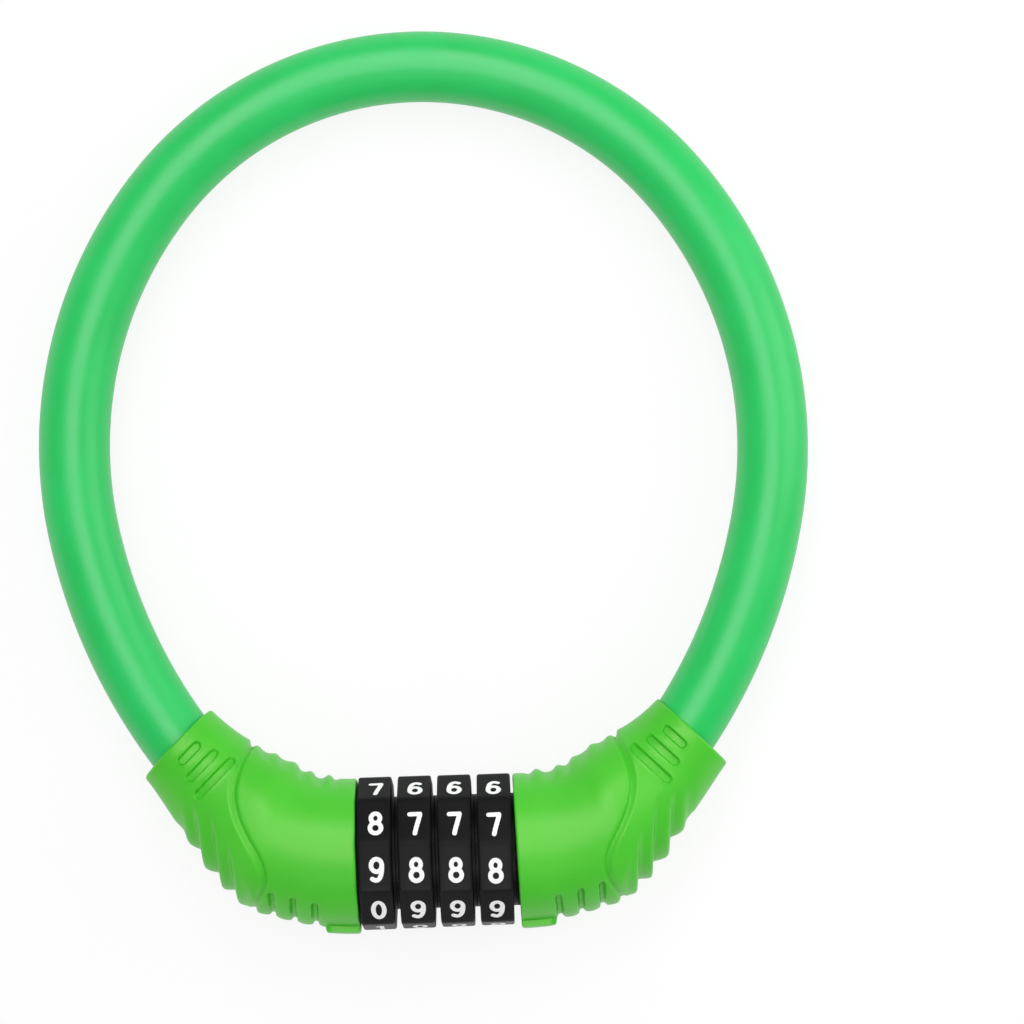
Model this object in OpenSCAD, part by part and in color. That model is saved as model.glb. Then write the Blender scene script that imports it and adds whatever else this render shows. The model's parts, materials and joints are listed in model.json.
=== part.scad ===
// Combination cable lock for a bicycle. A stiff steel-cored cable forms a hoop whose two
// ends meet in a four-dial lock. The lock lies flat on a table: dial axis along X, hoop
// toward +Y, +Z up, origin under the middle of the whole. All sizes are in millimetres.

/* [Hoop] */
// Outside diameter of the cable's plastic sleeve
cable_d = 12; // [10:0.5:14]
// Diameter of the steel rope inside the sleeve
rope_d = 6; // [4:0.5:7]
// Bend radius of the hoop's sides, to the cable's centre
side_bend_r = 69; // [62:0.5:76]
// Bend radius of the two runs that come down to the lock
lower_bend_r = 93; // [84:1:110]
// Degrees on each side of the hoop's top that have the top's own bend radius
top_arc = 50; // [42:1:58]
// Degrees that each side goes on bending inward after it is upright
side_arc = 11; // [6:1:16]

/* [Dials] */
// Diameter over the corners of a dial
dial_d = 26; // [24:0.5:30]
// Distance from one dial to the next
dial_pitch = 6.6; // [6.4:0.1:8]
// Width of the black groove between two dials
dial_groove = 0.9; // [0.5:0.1:1.2]
// Depth of that groove, from a dial's corners down to its hub
groove_depth = 3.6; // [3:0.1:4]
// Digits on a dial, and flats round it
digits = 10; // [10:1:10]
// Angle from +Y toward +Z of the flats that are read off at the index tabs
index_angle = 171; // [160:1:180]
// Bevel at the two sides of a dial's corners
dial_bevel = 0.5; // [0.2:0.1:0.8]

/* [Code rings] */
// Thickness of a code ring
ring_w = 3; // [2.4:0.1:3.1]
// Diameter of a code ring without its splines
ring_d = 15.2; // [14.8:0.1:15.6]
// Height of a spline over the ring
spline_h = 0.6; // [0.4:0.1:0.8]
// Width of a spline
spline_w = 1.4; // [1:0.1:1.8]
// Bore of a dial over the lugs, beside its code ring
cavity_d = 14; // [13.6:0.1:14.4]
// Radius of a detent groove
detent_groove_r = 1.25; // [1.2:0.05:1.4]
// Depth of a detent groove in the dial's bore
detent_groove_h = 0.45; // [0.3:0.05:0.6]

/* [Barrel and pin] */
// Outside diameter of the barrel that the dials turn on
barrel_d = 10; // [9.6:0.1:10.4]
// Bore of the barrel
barrel_bore = 6.8; // [6.4:0.1:7]
// Length of barrel inside the body block
barrel_grip = 8.2; // [7.5:0.1:9]
// Width of a lug of the locking pin
lug_w = 2; // [1.6:0.1:2.4]
// Thickness of a lug along the pin
lug_t = 1.8; // [1.4:0.1:2]
// Distance from the pin's axis to the top of a lug
lug_r = 6.2; // [6:0.1:6.4]
// Distance from the pin's tip to its first lug
pin_tip = 0.5; // [0.3:0.1:1]
// Length of pin inside the plug block
pin_grip = 7.5; // [7:0.1:8.5]
// Thickness of the plug that closes the barrel's blind end
end_plug_t = 2.8; // [2.6:0.1:3.2]
// Wire diameter of the pin's spring
spring_wire = 0.5; // [0.4:0.05:0.6]
// Turns of the pin's spring
spring_turns = 4; // [3:0.5:5]
// Thickness of the detent leaf
leaf_t = 0.35; // [0.25:0.05:0.4]
// Width of the detent leaf
leaf_w = 2.4; // [2:0.1:2.8]
// Depth of the flat for the leaf in the barrel
leaf_flat = 0.6; // [0.5:0.05:0.7]
// Radius of a detent bump
bump_r = 1.1; // [0.9:0.05:1.15]
// Length of a detent bump along the barrel
bump_w = 2; // [1.5:0.1:2.4]
// Thickness of the collar that keeps the dials on
collar_t = 1.4; // [1.2:0.1:2]

/* [Blocks] */
// Length of each zinc block along the dial axis
block_len = 13; // [12.5:0.1:14]
// Length of its flange at the dials
flange_len = 5.8; // [5.5:0.1:6.4]
// Step down from the flange to the rest of the block
flange_step = 1.3; // [1:0.1:1.6]
// Wall of a ferrule round the rope
ferrule_wall = 1.8; // [1.4:0.1:2]
// Length of a ferrule
ferrule_len = 13.3; // [12.5:0.1:14]
// Depth of the rope in a ferrule
rope_grip = 8; // [6:0.5:9]
// Wall of the block's socket round the ferrule
socket_wall = 1.75; // [1.5:0.05:2]
// Floor of that socket
socket_floor = 2.5; // [2:0.1:3]
// Length of ferrule that stands out of its socket
ferrule_show = 0.8; // [0.5:0.1:1.2]
// Diameter of the cross pins and of the rivet
cross_pin_d = 2.4; // [2:0.1:2.6]
// Distance from the barrel's cross pin to the end of the flange
pin_edge = 0.5; // [0.3:0.1:0.8]
// Length that each cross pin stays short of its block's surface, at both ends
pin_recess = 0.3; // [0.2:0.05:0.5]

/* [Covers] */
// Distance along the dial axis from the lock's middle to a cuff's mouth
cuff_x = 43.1; // [42.5:0.1:45]
// Distance from the dial axis to a cuff's mouth, toward the hoop
cuff_y = 19.3; // [18.8:0.1:21]
// Angle of the cuff's mouth to the dials' sides
mouth_angle = 45.5; // [44:0.5:50]
// Angle of the cable to the dial axis where it enters the cuff
cable_angle = 55; // [53:0.5:57]
// Length of sleeve inside the cuff
sleeve_grip = 9; // [8:0.5:10]
// Distance of the cable from the middle of the cuff, toward the inside of the hoop
cable_shift = 0.7; // [0:0.1:0.7]
// Wall of the cuff round the cable
cuff_wall = 1.7; // [1.6:0.1:2]
// Step down from a dial's corners to the cover
cover_step = 0.7; // [0.4:0.05:0.8]
// Straight lead of the cover's centre line out of the dials
lead_in = 16.5; // [15:0.5:18]
// Straight lead of the cover's centre line into the cuff
lead_out = 15; // [14:0.5:16]
// Gap between dial 1 and the left cover
cover_gap = 0.25; // [0.15:0.05:0.4]
// Gap between dial 4 and the plug cover, in which the collar shows
collar_gap = 1.3; // [1:0.05:1.4]
// Number of finger scallops along the outer edge
scallops = 7; // [5:1:8]
// Depth of a scallop
scallop_depth = 0.9; // [0.5:0.05:1]
// Length of an index tab along the dial axis
tab_len = 5.7; // [4:0.1:7]
// Height of an index tab over the cover
tab_h = 1.3; // [0.8:0.1:1.4]
// Depth of an index tab's root in the cover
tab_root = 1; // [0.8:0.1:1.5]
// Degrees of the cover's girth that an index tab takes
tab_arc = 17; // [12:1:24]
// Number of grip slots on each face of the cuff
grip_slots = 3; // [1:1:3]
// Width of a grip slot
slot_w = 1.2; // [0.8:0.1:1.4]
// Distance from the cuff's mouth to the first slot's middle
slot_from = 2.5; // [2:0.1:3]
// Length of the first slot round the cuff
slot_len = 5; // [4:0.1:6]
// Length that each next slot is longer
slot_growth = 2.25; // [1:0.05:2.5]
// Distance from one grip slot to the next
slot_pitch = 3; // [2.6:0.1:3.2]
// Depth of a grip slot
slot_depth = 0.9; // [0.5:0.1:1]

/* [Clearances] */
// Axial play between dials, and between a dial and what stands beside it
dial_play = 0.1; // [0.05:0.01:0.15]
// Radial clearance of a part that turns or slides on another
run_clear = 0.1; // [0.05:0.01:0.12]
// Clearance of a spline in its keyway, and of a ring in its dial
spline_clear = 0.05; // [0.03:0.01:0.1]
// Clearance at the sides of a lug in the barrel's slot
slot_clear = 0.15; // [0.1:0.01:0.2]
// Clearance between the cable and the parts that it enters
cable_clear = 0.2; // [0.1:0.05:0.3]
// Clearance between a cover and its block
cover_clear = 0.1; // [0.05:0.01:0.15]
// Clearance of a ferrule in its socket and of a rope in its ferrule
ferrule_clear = 0.05; // [0.03:0.01:0.1]
// Gap between the collar and the plug block when the lock is shut
shut_gap = 0.15; // [0.1:0.01:0.3]

/* [Hidden] */
$fn = 64;
cut = 1;

// Radii
cable_r = cable_d / 2;
rope_r = rope_d / 2;
dial_r = dial_d / 2;
hub_r = dial_r - groove_depth;
ring_r = ring_d / 2;
cavity_r = cavity_d / 2;
barrel_r = barrel_d / 2;
bore_r = barrel_bore / 2;
pin_r = bore_r - run_clear;
cross_pin_r = cross_pin_d / 2;
body_r = dial_r - cover_step;
block_r = hub_r + cover_clear;
block_back_r = block_r - flange_step;
cuff_r = cable_r + cable_clear + cuff_wall;
ferrule_r = rope_r + ferrule_clear + ferrule_wall;
socket_r = ferrule_r + ferrule_clear + socket_wall;
leaf_r = barrel_r - leaf_flat;
gate_w = lug_w + 4 * slot_clear;

// Places along the dial axis; the stack of dials is centred on x = 0
dial_count = 4;
rim_w = dial_pitch - dial_groove;
hub_w = dial_pitch - dial_play;
last_dial_x = dial_pitch * (dial_count - 1) / 2;
stack_end = last_dial_x + hub_w / 2;
rim_end = last_dial_x + rim_w / 2;
body_face = stack_end + dial_play;
collar_end = body_face + collar_t;
plug_face = collar_end + shut_gap;
left_mouth = rim_end + cover_gap;
plug_mouth = rim_end + collar_gap;
barrel_end = body_face + barrel_grip;
cuff_len = norm([cuff_x - lead_in - left_mouth, cuff_y]);
barrel_pin_x = -(body_face + flange_len - pin_edge - cross_pin_r);
end_plug_to = barrel_pin_x + end_plug_t / 2;
rivet_x = plug_face + pin_grip / 2;
ring_from = hub_w / 2 - dial_play - ring_w;
lug_from = ring_from - 2 * dial_play - slot_clear - lug_t;
pin_end = -last_dial_x + lug_from - pin_tip;

// Angles from +Y toward +Z
gate_angle = 90;
detent_angle = 270;
flat_step = 360 / digits;

// The cable enters the cuff at cable_in and then runs straight into the ferrule
function heading(a) = [cos(a), sin(a)];
cuff_in = [cuff_x, cuff_y];
cable_in = cuff_in + cable_shift * heading(mouth_angle + 90);
ferrule_from = sleeve_grip + cable_clear;
socket_from = ferrule_from + ferrule_show;
ferrule_to = ferrule_from + ferrule_len;
socket_to = ferrule_to + socket_floor;
rope_to = ferrule_from + rope_grip;
ferrule_pin_at = (rope_to + ferrule_to) / 2;

// Arcs of the hoop, worked out from the cuff upward; every arc is tangent to the next
lower_centre = cable_in - lower_bend_r * heading(cable_angle - 90);
side_centre = lower_centre + (lower_bend_r - side_bend_r) * heading(-side_arc);
side_top = side_centre + side_bend_r * heading(90 - top_arc);
top_bend_r = side_top.x / sin(top_arc);
top_centre_y = side_top.y - top_bend_r * cos(top_arc);
hoop_y = top_centre_y + top_bend_r;

// The lock rests on the lowest corners of its dials and on the far end of the hoop
corner_off = abs((index_angle - detent_angle) % flat_step + flat_step / 2);
flat_tilt = asin((dial_r * cos(corner_off) - cable_r) / hoop_y);
tilt = asin((dial_r * cos(corner_off + flat_tilt) - cable_r) / hoop_y);
axis_z = hoop_y * sin(tilt) + cable_r;
far_y = hoop_y * cos(tilt) + cable_r;
near_y = body_r + tab_h;
axis_y = -(far_y - near_y) / 2;

// Fineness of the swept skins
cover_rings = 44;
cover_sides = 28;
sleeve_sides = 16;
rope_sides = 10;
sleeve_bore_r = (rope_r + ferrule_clear) / cos(180 / sleeve_sides);
arc_rings = 12;
wire_sides = 6;
spring_rings = 12 * spring_turns;

cover_green = [0.31, 0.82, 0.22];
cable_green = [0.1, 0.8, 0.42];
zinc = [0.72, 0.73, 0.74];
steel = [0.6, 0.62, 0.65];

// From the lock's own frame, with the dial axis as X, to the table
module on_table() {
  translate([0, axis_y, axis_z]) rotate([-tilt, 0, 0]) children();
}

// A round bar along the dial axis
module bar(r, from_x, to_x) {
  translate([from_x, 0, 0]) rotate([90, 0, 90]) cylinder(r = r, h = to_x - from_x);
}

// A key that stands out from the dial axis at an angle from +Y toward +Z
module key(angle, w, from_r, to_r, from_x, to_x) {
  translate([from_x, 0, 0]) rotate([90, 0, 90]) rotate([0, 0, angle])
    translate([from_r, -w / 2, 0]) cube([to_r - from_r, w, to_x - from_x]);
}

// The right-hand side's cable line: +Z of the child runs down the cable into the lock
module cable_line() {
  translate([cable_in.x, cable_in.y, 0]) rotate([0, 90, cable_angle + 180]) children();
}

// The left-hand side is the mirror image of the right-hand side
module to_left() {
  mirror([1, 0, 0]) children();
}

// A closed skin over rings of points, each ring turning right-handed about the way forward
function skin_faces(rings, sides, first = 0) = [
  for (i = [0:rings - 1]) for (j = [0:sides - 1])
    let (a = first + i * sides + j)
    let (b = first + i * sides + (j + 1) % sides)
    for (f = [[a, b + sides, b], [a, a + sides, b + sides]]) f
];

module tube(points, rings, sides) {
  near_end = [[for (j = [0:sides - 1]) j]];
  far_end = [[for (j = [sides - 1:-1:0]) rings * sides + j]];
  polyhedron(points = points, faces = concat(near_end, skin_faces(rings, sides), far_end));
}

// Centre line, lean and radius of a cover, for t from 0 at the dials to 1 at the cuff
function smooth(v) = let (t = min(max(v, 0), 1)) t * t * (3 - 2 * t);
function blend(a, b, t) = a + (b - a) * t;
function bezier(a, b, c, d, t) =
  pow(1 - t, 3) * a + 3 * t * pow(1 - t, 2) * b + 3 * t * t * (1 - t) * c + pow(t, 3) * d;
function cover_centre(mouth_x, t) = bezier(
  [mouth_x, 0], [mouth_x + lead_in, 0], cuff_in - lead_out * heading(mouth_angle), cuff_in, t);
lean_ease = 0.82;
function cover_lean(t) = mouth_angle * pow(smooth(t), lean_ease);
taper_from = 0.4;
taper_to = 1;
function cover_radius(t) = blend(body_r, cuff_r, smooth((t - taper_from) / (taper_to - taper_from)));

// Scallops are cut in the outer edge and fade out toward the faces
scallop_from = 0.22;
scallop_to = 0.82;
function scallop(t) = let (u = scallops * (t - scallop_from) / (scallop_to - scallop_from))
  (u < 0 || u > scallops) ? 0 : scallop_depth * (1 - cos(360 * u)) / 2;
edge_focus = 3;
function edge_share(a) = pow(max(-cos(a), 0), edge_focus);

function cover_point(mouth_x, t, a) =
  let (c = cover_centre(mouth_x, t))
  let (r = cover_radius(t) - scallop(t) * edge_share(a))
  let (n = heading(cover_lean(t) + 90))
  [c.x + r * cos(a) * n.x, c.y + r * cos(a) * n.y, r * sin(a)];

module cover_skin(mouth_x) {
  tube([for (i = [0:cover_rings]) for (j = [0:cover_sides - 1])
    cover_point(mouth_x, i / cover_rings, 360 * j / cover_sides)], cover_rings, cover_sides);
}

// Space of a zinc block: a round body on the dial axis and a socket on the cable line
module block_form(from_x, face_x, grow) {
  bar(block_r + grow, from_x, face_x + flange_len + grow);
  bar(block_back_r + grow, face_x, face_x + block_len + grow);
  cable_line() translate([0, 0, socket_from - grow])
    cylinder(r = socket_r + grow, h = socket_to - socket_from + 2 * grow);
}

// A grip slot across both faces of the cuff, which follows its girth
module grip_slot(number) {
  down = slot_from + slot_pitch * number;
  r = cover_radius(1 - down / cuff_len);
  half = (slot_len + slot_growth * number) / r / PI * 90;
  for (face = [90, 270])
    translate([cuff_x, cuff_y, 0]) rotate([90, 0, mouth_angle + 90])
      translate([0, 0, -down - slot_w / 2]) rotate([0, 0, face - half])
        rotate_extrude(angle = 2 * half) translate([r - slot_depth, 0])
          square([slot_depth + cut, slot_w]);
}

module cover(mouth_x, face_x) {
  difference() {
    union() {
      cover_skin(mouth_x);
      translate([mouth_x, 0, 0]) rotate([90, 0, 90]) rotate([0, 0, index_angle - tab_arc / 2])
        rotate_extrude(angle = tab_arc) translate([body_r - tab_root, 0])
          square([tab_root + tab_h, tab_len]);
    }
    block_form(mouth_x - cut, face_x, cover_clear);
    for (number = [0:grip_slots - 1]) grip_slot(number);
    cable_line() translate([0, 0, -cut - cuff_r])
      cylinder(r = cable_r + cable_clear, h = cut + cuff_r + socket_from);
  }
}

module block(from_x, hole_r, hole_to) {
  difference() {
    block_form(from_x, from_x, 0);
    bar(hole_r, from_x - cut, hole_to);
    cable_line() translate([0, 0, socket_from - cut])
      cylinder(r = ferrule_r + ferrule_clear, h = ferrule_to - socket_from + cut);
    translate([(from_x + hole_to) / 2, 0, 0]) cross_pin(block_r + cut);
    ferrule_pin_place() cross_pin(socket_r + cut);
  }
}

module cross_pin(half) {
  translate([0, 0, -half]) cylinder(r = cross_pin_r, h = 2 * half);
}

module ferrule_pin_place() {
  p = cable_in - ferrule_pin_at * heading(cable_angle);
  translate([p.x, p.y, 0]) children();
}

module ferrule() {
  difference() {
    cable_line() translate([0, 0, ferrule_from]) difference() {
      cylinder(r = ferrule_r, h = ferrule_len);
      translate([0, 0, -cut]) cylinder(r = rope_r + ferrule_clear, h = rope_grip + ferrule_clear + cut);
    }
    ferrule_pin_place() cross_pin(ferrule_r + cut);
  }
}

// The cable's centre line as [point, heading], from the plug's side over the hoop's top
// to the lock's fixed side; reach is how far it runs on, down each cable line
function arc(centre, r, from_a, to_a) = [
  for (i = [0:arc_rings - 1]) let (a = from_a + (to_a - from_a) * i / arc_rings)
    [centre + r * heading(a), a + 90]
];
function right_half(reach) = concat(
  [[cable_in - reach * heading(cable_angle), cable_angle]],
  arc(lower_centre, lower_bend_r, cable_angle - 90, -side_arc),
  arc(side_centre, side_bend_r, -side_arc, 90 - top_arc),
  arc([0, top_centre_y], top_bend_r, 90 - top_arc, 90)
);
function hoop_line(reach) = let (half = right_half(reach)) concat(
  half,
  [[[0, hoop_y], 180]],
  [for (i = [len(half) - 1:-1:0]) [[-half[i][0].x, half[i][0].y], 360 - half[i][1]]]
);
function hoop_skin(line, r, sides) = [
  for (s = line) for (j = [0:sides - 1])
    let (n = heading(s[1] + 90))
    let (a = 360 * j / sides)
    [s[0].x + r * cos(a) * n.x, s[0].y + r * cos(a) * n.y, r * sin(a)]
];

module dial(number) {
  x = -last_dial_x + (number - 1) * dial_pitch;
  translate([x, 0, 0]) difference() {
    union() {
      bar(hub_r, -hub_w / 2, hub_w / 2);
      intersection() {
        translate([-rim_w / 2, 0, 0]) rotate([90, 0, 90]) rotate([0, 0, index_angle - flat_step / 2])
          linear_extrude(rim_w) circle(r = dial_r, $fn = digits);
        rotate([90, 0, 90]) rotate_extrude() polygon([
          [0, -rim_w / 2], [dial_r - dial_bevel, -rim_w / 2], [dial_r, -rim_w / 2 + dial_bevel],
          [dial_r, rim_w / 2 - dial_bevel], [dial_r - dial_bevel, rim_w / 2], [0, rim_w / 2]
        ]);
      }
    }
    bar(cavity_r, -hub_w / 2 - cut, ring_from);
    bar(ring_r + spline_clear, ring_from - dial_play, hub_w / 2 + cut);
    for (k = [0:digits - 1]) {
      key(k * flat_step, spline_w + 2 * spline_clear, cavity_r - cut,
        ring_r + spline_h + spline_clear, ring_from - dial_play, hub_w / 2 + cut);
      translate([-hub_w / 2 - cut, 0, 0]) rotate([90, 0, 90])
        rotate([0, 0, detent_angle + k * flat_step])
          translate([cavity_r + detent_groove_h - detent_groove_r, 0, 0])
            cylinder(r = detent_groove_r, h = ring_from - dial_play + hub_w / 2 + cut);
    }
  }
}

module code_ring(number) {
  x = -last_dial_x + (number - 1) * dial_pitch;
  translate([x, 0, 0]) difference() {
    union() {
      bar(ring_r, ring_from, ring_from + ring_w);
      for (k = [0:digits - 1])
        key(k * flat_step, spline_w, barrel_r + cut, ring_r + spline_h, ring_from, ring_from + ring_w);
    }
    bar(barrel_r + run_clear, ring_from - cut, ring_from + ring_w + cut);
    key(gate_angle, gate_w, 0, lug_r + slot_clear, ring_from - cut, ring_from + ring_w + cut);
  }
}

module left_cover() {
  color(cover_green) on_table() to_left() cover(left_mouth, body_face);
}

module body_block() {
  color(zinc) on_table() to_left() block(body_face, barrel_r, barrel_end);
}

module lock_barrel() {
  color(steel) on_table() difference() {
    bar(barrel_r, -barrel_end, collar_end);
    bar(bore_r, -barrel_end - cut, collar_end + cut);
    key(gate_angle, lug_w + 2 * slot_clear, 0, barrel_r + cut, pin_end - slot_clear, collar_end + cut);
    key(detent_angle, leaf_w + 2 * slot_clear, leaf_r, barrel_r + cut, -body_face, body_face);
    translate([barrel_pin_x, 0, 0]) cross_pin(barrel_r + cut);
  }
}

module barrel_end_plug() {
  color(steel) on_table() difference() {
    bar(bore_r, -barrel_end, end_plug_to);
    translate([barrel_pin_x, 0, 0]) cross_pin(bore_r + cut);
  }
}

module barrel_pin() {
  color(steel) on_table() translate([barrel_pin_x, 0, 0]) cross_pin(block_r - pin_recess);
}

// A round-topped detent bump that stands on the leaf
module detent_bump(x) {
  crown_r = cavity_r - slot_clear - bump_r;
  intersection() {
    key(detent_angle, leaf_w, leaf_r + leaf_t / 2, cavity_r, x - cut, x + bump_w + cut);
    union() {
      key(detent_angle, bump_r, 0, crown_r, x, x + bump_w);
      translate([x, 0, 0]) rotate([90, 0, 90]) rotate([0, 0, detent_angle])
        translate([crown_r, 0, 0]) cylinder(r = bump_r, h = bump_w);
    }
  }
}

module detent_spring() {
  color(steel) on_table() {
    key(detent_angle, leaf_w, leaf_r, leaf_r + leaf_t, -body_face + slot_clear, body_face - slot_clear);
    for (k = [0:dial_count - 1])
      detent_bump(-last_dial_x + k * dial_pitch + lug_from + (lug_t - bump_w) / 2);
  }
}

module end_collar() {
  color("dimgray") on_table() difference() {
    bar(hub_r, body_face, collar_end);
    bar(barrel_r, body_face - cut, collar_end + cut);
    key(gate_angle, gate_w, 0, lug_r + slot_clear, body_face - cut, collar_end + cut);
  }
}

// One helical wire between the end plug and the tip of the pin
module pin_spring() {
  from_x = end_plug_to + dial_play;
  climb = pin_end - from_x - spring_wire - dial_play;
  points = [
    for (i = [0:spring_rings]) for (j = [0:wire_sides - 1])
      let (turn = 360 * spring_turns * i / spring_rings)
      let (r = pin_r - spring_wire + spring_wire / 2 * cos(360 * j / wire_sides))
      let (x = climb * i / spring_rings - spring_wire / 2 * sin(360 * j / wire_sides))
      [from_x + spring_wire / 2 + x, r * cos(turn), r * sin(turn)]
  ];
  color(steel) on_table() tube(points, spring_rings, wire_sides);
}

module body_ferrule() {
  color(steel) on_table() to_left() ferrule();
}

module body_ferrule_pin() {
  color(steel) on_table() to_left() ferrule_pin_place() cross_pin(ferrule_r + socket_wall - pin_recess);
}

module steel_rope() {
  line = hoop_line(rope_to);
  color(steel) on_table() tube(hoop_skin(line, rope_r, rope_sides), len(line) - 1, rope_sides);
}

module cable_sleeve() {
  line = hoop_line(sleeve_grip);
  rings = len(line) - 1;
  sides = sleeve_sides;
  inner = len(line) * sides;
  walls = concat(
    skin_faces(rings, sides),
    [for (f = skin_faces(rings, sides, inner)) [f[0], f[2], f[1]]]
  );
  near_end = [
    for (a = [0:sides - 1]) let (b = (a + 1) % sides) [a, b, b + inner, a + inner]
  ];
  far_end = [for (f = near_end) [for (k = [3:-1:0]) f[k] + rings * sides]];
  color(cable_green) on_table() polyhedron(
    points = concat(hoop_skin(line, cable_r, sides), hoop_skin(line, sleeve_bore_r, sides)),
    faces = concat(walls, near_end, far_end)
  );
}

module dial_1() { color([0.1, 0.1, 0.1]) on_table() dial(1); }
module dial_2() { color([0.1, 0.1, 0.1]) on_table() dial(2); }
module dial_3() { color([0.1, 0.1, 0.1]) on_table() dial(3); }
module dial_4() { color([0.1, 0.1, 0.1]) on_table() dial(4); }
module code_ring_1() { color("goldenrod") on_table() code_ring(1); }
module code_ring_2() { color("goldenrod") on_table() code_ring(2); }
module code_ring_3() { color("goldenrod") on_table() code_ring(3); }
module code_ring_4() { color("goldenrod") on_table() code_ring(4); }

module plug_cover() {
  color(cover_green) on_table() cover(plug_mouth, plug_face);
}

module plug_block() {
  color(zinc) on_table() block(plug_face, pin_r, plug_face + pin_grip);
}

module locking_pin() {
  color(steel) on_table() difference() {
    union() {
      bar(pin_r, pin_end, plug_face + pin_grip);
      for (k = [0:dial_count - 1]) let (x = -last_dial_x + k * dial_pitch + lug_from)
        key(gate_angle, lug_w, 0, lug_r, x, x + lug_t);
    }
    translate([rivet_x, 0, 0]) cross_pin(pin_r + cut);
  }
}

module locking_pin_rivet() {
  color(steel) on_table() translate([rivet_x, 0, 0]) cross_pin(block_r - pin_recess);
}

module plug_ferrule() {
  color(steel) on_table() ferrule();
}

module plug_ferrule_pin() {
  color(steel) on_table() ferrule_pin_place() cross_pin(ferrule_r + socket_wall - pin_recess);
}

left_cover();
body_block();
lock_barrel();
barrel_end_plug();
barrel_pin();
pin_spring();
detent_spring();
end_collar();
body_ferrule();
body_ferrule_pin();
steel_rope();
cable_sleeve();
dial_1();
dial_2();
dial_3();
dial_4();
code_ring_1();
code_ring_2();
code_ring_3();
code_ring_4();
plug_cover();
plug_block();
locking_pin();
locking_pin_rivet();
plug_ferrule();
plug_ferrule_pin();
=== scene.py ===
import json
import math

import bpy
import numpy as np
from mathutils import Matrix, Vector


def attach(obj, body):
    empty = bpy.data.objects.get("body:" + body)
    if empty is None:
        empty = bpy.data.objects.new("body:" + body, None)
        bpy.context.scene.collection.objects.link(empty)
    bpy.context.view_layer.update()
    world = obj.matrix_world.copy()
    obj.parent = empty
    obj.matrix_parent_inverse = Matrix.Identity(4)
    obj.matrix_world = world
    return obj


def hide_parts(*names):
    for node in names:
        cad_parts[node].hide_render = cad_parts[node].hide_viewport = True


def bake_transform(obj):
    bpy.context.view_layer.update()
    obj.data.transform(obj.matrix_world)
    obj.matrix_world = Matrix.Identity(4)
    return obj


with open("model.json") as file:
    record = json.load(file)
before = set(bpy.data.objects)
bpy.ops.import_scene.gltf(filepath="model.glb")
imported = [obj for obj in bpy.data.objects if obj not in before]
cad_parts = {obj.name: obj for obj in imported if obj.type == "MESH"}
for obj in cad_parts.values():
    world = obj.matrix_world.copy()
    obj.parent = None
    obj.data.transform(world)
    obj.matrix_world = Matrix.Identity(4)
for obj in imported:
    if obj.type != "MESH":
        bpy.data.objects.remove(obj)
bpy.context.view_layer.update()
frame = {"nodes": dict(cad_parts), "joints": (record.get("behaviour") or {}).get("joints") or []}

# ---------------------------------------------------------------------------------------
# Sizes of the lock in millimetres and degrees, as the CAD solids have them
# ---------------------------------------------------------------------------------------
MM = 0.001
DIAL_COUNT = 4
DIALS = range(1, DIAL_COUNT + 1)
CABLE_R = 6.0
ROPE_R = 3.0
SIDE_BEND_R = 69.0
LOWER_BEND_R = 93.0
TOP_ARC = 50.0
SIDE_ARC = 11.0
CUFF_IN = np.array([43.1, 19.3])
MOUTH_ANGLE = 45.5
CABLE_ANGLE = 55.0
CABLE_SHIFT = 0.7
SLEEVE_GRIP = 9.0
ROPE_GRIP = 8.0
CABLE_CLEAR = 0.2
DIAL_R = 13.0
DIAL_PITCH = 6.6
HUB_FACE_W = 6.56
HUB_R = 9.4
RIM_FACE_W = 5.56
DIGITS = 10
FLAT_STEP = 360 / DIGITS
INDEX_ANGLE = 171.0
BODY_R = 12.3
CUFF_R = 7.9
LEAD_IN = 16.5
LEAD_OUT = 15.0
LEAN_EASE = 0.82
LEFT_MOUTH = 13.0
PLUG_MOUTH = 14.05
BODY_FACE = 13.25
PLUG_FACE = 14.8
# Room in each cover for its block and for the cable's end, a little more than they fill
BLOCK_R = 9.6
BLOCK_BACK_R = 8.3
FLANGE_LEN = 5.9
BLOCK_LEN = 13.1
SOCKET_FROM = 10.0


def heading(a):
    """The flat direction at an angle in degrees."""
    return np.array([math.cos(math.radians(a)), math.sin(math.radians(a))])


CABLE_IN = CUFF_IN + CABLE_SHIFT * heading(MOUTH_ANGLE + 90)
ROPE_TO = SLEEVE_GRIP + CABLE_CLEAR + ROPE_GRIP
LOWER_CENTRE = CABLE_IN - LOWER_BEND_R * heading(CABLE_ANGLE - 90)
SIDE_CENTRE = LOWER_CENTRE + (LOWER_BEND_R - SIDE_BEND_R) * heading(-SIDE_ARC)
SIDE_TOP = SIDE_CENTRE + SIDE_BEND_R * heading(90 - TOP_ARC)
TOP_BEND_R = SIDE_TOP[0] / math.sin(math.radians(TOP_ARC))
TOP_CENTRE = np.array([0.0, SIDE_TOP[1] - TOP_BEND_R * math.cos(math.radians(TOP_ARC))])
HOOP_Y = TOP_CENTRE[1] + TOP_BEND_R

AXIS_Y, AXIS_Z = (v / MM for v in frame["joints"][0]["pos_m"][1:])
TILT = math.asin((AXIS_Z - CABLE_R) / HOOP_Y)


def on_table(points):
    """Points of the lock's own frame in millimetres, in the CAD model's frame in metres."""
    p = np.asarray(points, float)
    c, s = math.cos(TILT), math.sin(TILT)
    x, y, z = p[..., 0], p[..., 1], p[..., 2]
    return np.stack([x, AXIS_Y + y * c + z * s, AXIS_Z - y * s + z * c], -1) * MM


# ---------------------------------------------------------------------------------------
# Camera
# ---------------------------------------------------------------------------------------
IMAGE_PX = 1024
SENSOR_MM = 36.0
PX_PER_MM = 5.925
VIEW_CENTRE = (14.56, 56.57)
VIEW_DISTANCE = 508.0
VIEW_ROLL = 1.95

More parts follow.
